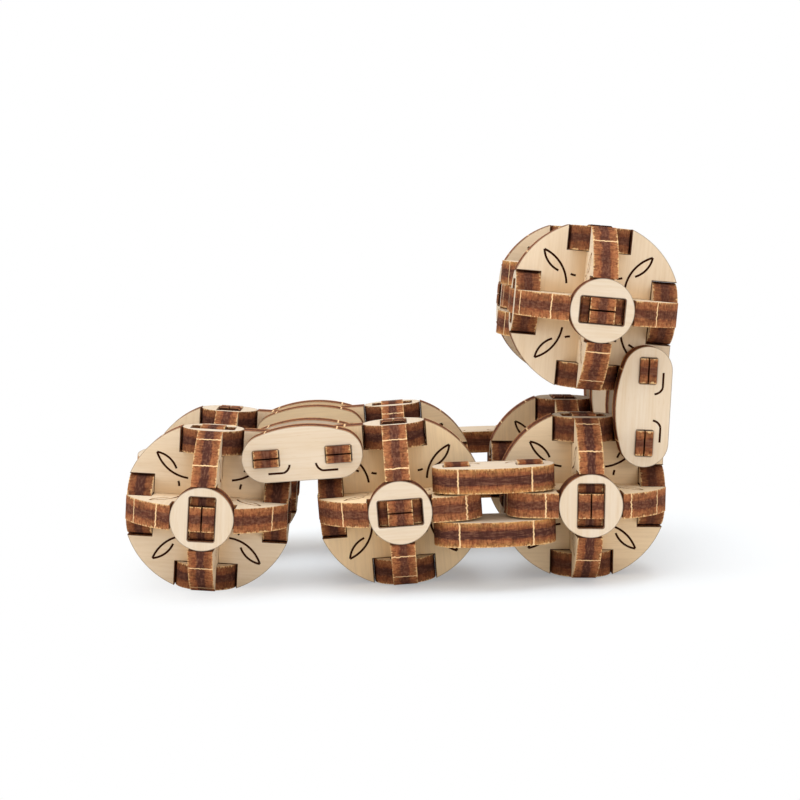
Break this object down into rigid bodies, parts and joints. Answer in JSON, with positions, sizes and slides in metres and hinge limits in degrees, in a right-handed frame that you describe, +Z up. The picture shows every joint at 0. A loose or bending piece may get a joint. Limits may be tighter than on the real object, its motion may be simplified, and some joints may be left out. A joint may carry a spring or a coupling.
{
  "type": "folding cube puzzle",
  "caption": "Laser-cut plywood folding cube: balls of crossing slotted discs in a closed ring, hinged by arched two-pin links so that the ring folds flat or into a cube.",
  "frame": {"origin": "on the surface that the puzzle stands on, at the middle of its box seen from above", "axes": "+X along the long row of balls towards the folded-up end pair, +Y from the front row to the back row, +Z up"},
  "size_m": [0.093, 0.059, 0.0583],
  "materials": {
    "disc_birch": "bare birch plywood, faces pale, laser-cut edges charred brown",
    "cap_birch": "bare birch plywood, pale face",
    "plate_birch": "bare birch plywood, faces pale, engraved with thin dark strokes",
    "pin_birch": "charred laser-cut edge of plywood"
  },
  "bodies": {
    "ball_1": {"ball_1_lug_halves": "disc_birch", "ball_1_cross_halves": "disc_birch", "ball_1_quarters": "disc_birch", "ball_1_caps": "cap_birch"},
    "ball_2": {"ball_2_lug_halves": "disc_birch", "ball_2_cross_halves": "disc_birch", "ball_2_quarters": "disc_birch", "ball_2_caps": "cap_birch"},
    "ball_3": {"ball_3_lug_halves": "disc_birch", "ball_3_cross_halves": "disc_birch", "ball_3_quarters": "disc_birch", "ball_3_caps": "cap_birch"},
    "ball_4": {"ball_4_lug_halves": "disc_birch", "ball_4_cross_halves": "disc_birch", "ball_4_quarters": "disc_birch", "ball_4_caps": "cap_birch"},
    "ball_5": {"ball_5_lug_halves": "disc_birch", "ball_5_cross_halves": "disc_birch", "ball_5_quarters": "disc_birch", "ball_5_caps": "cap_birch"},
    "ball_6": {"ball_6_lug_halves": "disc_birch", "ball_6_cross_halves": "disc_birch", "ball_6_quarters": "disc_birch", "ball_6_caps": "cap_birch"},
    "ball_7": {"ball_7_lug_halves": "disc_birch", "ball_7_cross_halves": "disc_birch", "ball_7_quarters": "disc_birch", "ball_7_caps": "cap_birch"},
    "ball_8": {"ball_8_lug_halves": "disc_birch", "ball_8_cross_halves": "disc_birch", "ball_8_quarters": "disc_birch", "ball_8_caps": "cap_birch"},
    "link_12": {"link_12_left_plate": "plate_birch", "link_12_right_plate": "plate_birch", "link_12_pins": "pin_birch"},
    "link_23": {"link_23_left_plate": "plate_birch", "link_23_right_plate": "plate_birch", "link_23_pins": "pin_birch"},
    "link_34": {"link_34_left_plate": "plate_birch", "link_34_right_plate": "plate_birch", "link_34_pins": "pin_birch"},
    "link_45": {"link_45_left_plate": "plate_birch", "link_45_right_plate": "plate_birch", "link_45_pins": "pin_birch"},
    "link_56": {"link_56_left_plate": "plate_birch", "link_56_right_plate": "plate_birch", "link_56_pins": "pin_birch"},
    "link_67": {"link_67_left_plate": "plate_birch", "link_67_right_plate": "plate_birch", "link_67_pins": "pin_birch"},
    "link_78": {"link_78_left_plate": "plate_birch", "link_78_right_plate": "plate_birch", "link_78_pins": "pin_birch"},
    "link_81": {"link_81_left_plate": "plate_birch", "link_81_right_plate": "plate_birch", "link_81_pins": "pin_birch"}
  },
  "joints": [
    {"name": "fold_link_12_on_ball_2", "type": "hinge", "parent": "ball_2", "child": "link_12", "pos_m": [-0.00997, -0.0152, 0.02246], "axis": [0, 1, 0], "range_deg": [-1.4, 87.6]},
    {"name": "fold_ball_1_on_link_12", "type": "hinge", "parent": "link_12", "child": "ball_1", "pos_m": [-0.02177, -0.0152, 0.02205], "axis": [0, 1, 0], "range_deg": [-8.3, 80.7]},
    {"name": "slip_link_81_on_ball_1", "type": "hinge", "parent": "ball_1", "child": "link_81", "pos_m": [-0.04115, -0.0059, 0.01451], "axis": [0.0924, 0, 0.9957], "range_deg": [-5, 5]},
    {"name": "slip_ball_8_on_link_81", "type": "hinge", "parent": "link_81", "child": "ball_8", "pos_m": [-0.04115, 0.0059, 0.01451], "axis": [0.0924, 0, 0.9957], "range_deg": [-5, 5]},
    {"name": "fold_link_78_on_ball_8", "type": "hinge", "parent": "ball_8", "child": "link_78", "pos_m": [-0.02177, 0.0152, 0.02205], "axis": [0, 1, 0], "range_deg": [-80.7, 8.3]},
    {"name": "shear_link_23_on_ball_2", "type": "hinge", "parent": "ball_2", "child": "link_23", "pos_m": [0.009, -0.0245, 0.01395], "axis": [0, 0, 1], "range_deg": [-8, 8]},
    {"name": "shear_ball_3_on_link_23", "type": "hinge", "parent": "link_23", "child": "ball_3", "pos_m": [0.0208, -0.0245, 0.01395], "axis": [0, 0, 1], "range_deg": [-8, 8]},
    {"name": "fold_link_34_on_ball_3", "type": "hinge", "parent": "ball_3", "child": "link_34", "pos_m": [0.03977, -0.0152, 0.02246], "axis": [0, 1, 0], "range_deg": [-0.2, 88.8]},
    {"name": "fold_ball_4_on_link_34", "type": "hinge", "parent": "link_34", "child": "ball_4", "pos_m": [0.04072, -0.0152, 0.03422], "axis": [0, 1, 0], "range_deg": [-0.2, 88.8]},
    {"name": "slip_link_45_on_ball_4", "type": "hinge", "parent": "ball_4", "child": "link_45", "pos_m": [0.02335, -0.0059, 0.04566], "axis": [0.1184, 0, 0.993], "range_deg": [-5, 5]},
    {"name": "slip_ball_5_on_link_45", "type": "hinge", "parent": "link_45", "child": "ball_5", "pos_m": [0.02335, 0.0059, 0.04566], "axis": [0.1184, 0, 0.993], "range_deg": [-5, 5]},
    {"name": "fold_link_56_on_ball_5", "type": "hinge", "parent": "ball_5", "child": "link_56", "pos_m": [0.04072, 0.0152, 0.03422], "axis": [0, 1, 0], "range_deg": [-88.8, 0.2]},
    {"name": "fold_ball_6_on_link_56", "type": "hinge", "parent": "link_56", "child": "ball_6", "pos_m": [0.03977, 0.0152, 0.02246], "axis": [0, 1, 0], "range_deg": [-88.8, 0.2]},
    {"name": "shear_link_67_on_ball_6", "type": "hinge", "parent": "ball_6", "child": "link_67", "pos_m": [0.0208, 0.0245, 0.01395], "axis": [0, 0, 1], "range_deg": [-8, 8]},
    {"name": "shear_ball_7_on_link_67", "type": "hinge", "parent": "link_67", "child": "ball_7", "pos_m": [0.009, 0.0245, 0.01395], "axis": [0, 0, 1], "range_deg": [-8, 8]}
  ],
  "couplings": [
    {"joint": "slip_ball_8_on_link_81", "follows": "slip_link_81_on_ball_1", "ratio": -1},
    {"joint": "fold_link_78_on_ball_8", "follows": "fold_ball_1_on_link_12", "ratio": -1},
    {"joint": "shear_ball_3_on_link_23", "follows": "shear_link_23_on_ball_2", "ratio": -1},
    {"joint": "slip_link_45_on_ball_4", "follows": "slip_link_81_on_ball_1", "ratio": 1},
    {"joint": "slip_ball_5_on_link_45", "follows": "slip_link_81_on_ball_1", "ratio": -1},
    {"joint": "fold_link_56_on_ball_5", "follows": "fold_ball_4_on_link_34", "ratio": -1},
    {"joint": "fold_ball_6_on_link_56", "follows": "fold_link_34_on_ball_3", "ratio": -1},
    {"joint": "shear_link_67_on_ball_6", "follows": "shear_link_23_on_ball_2", "ratio": 1},
    {"joint": "shear_ball_7_on_link_67", "follows": "shear_link_23_on_ball_2", "ratio": -1}
  ]
}
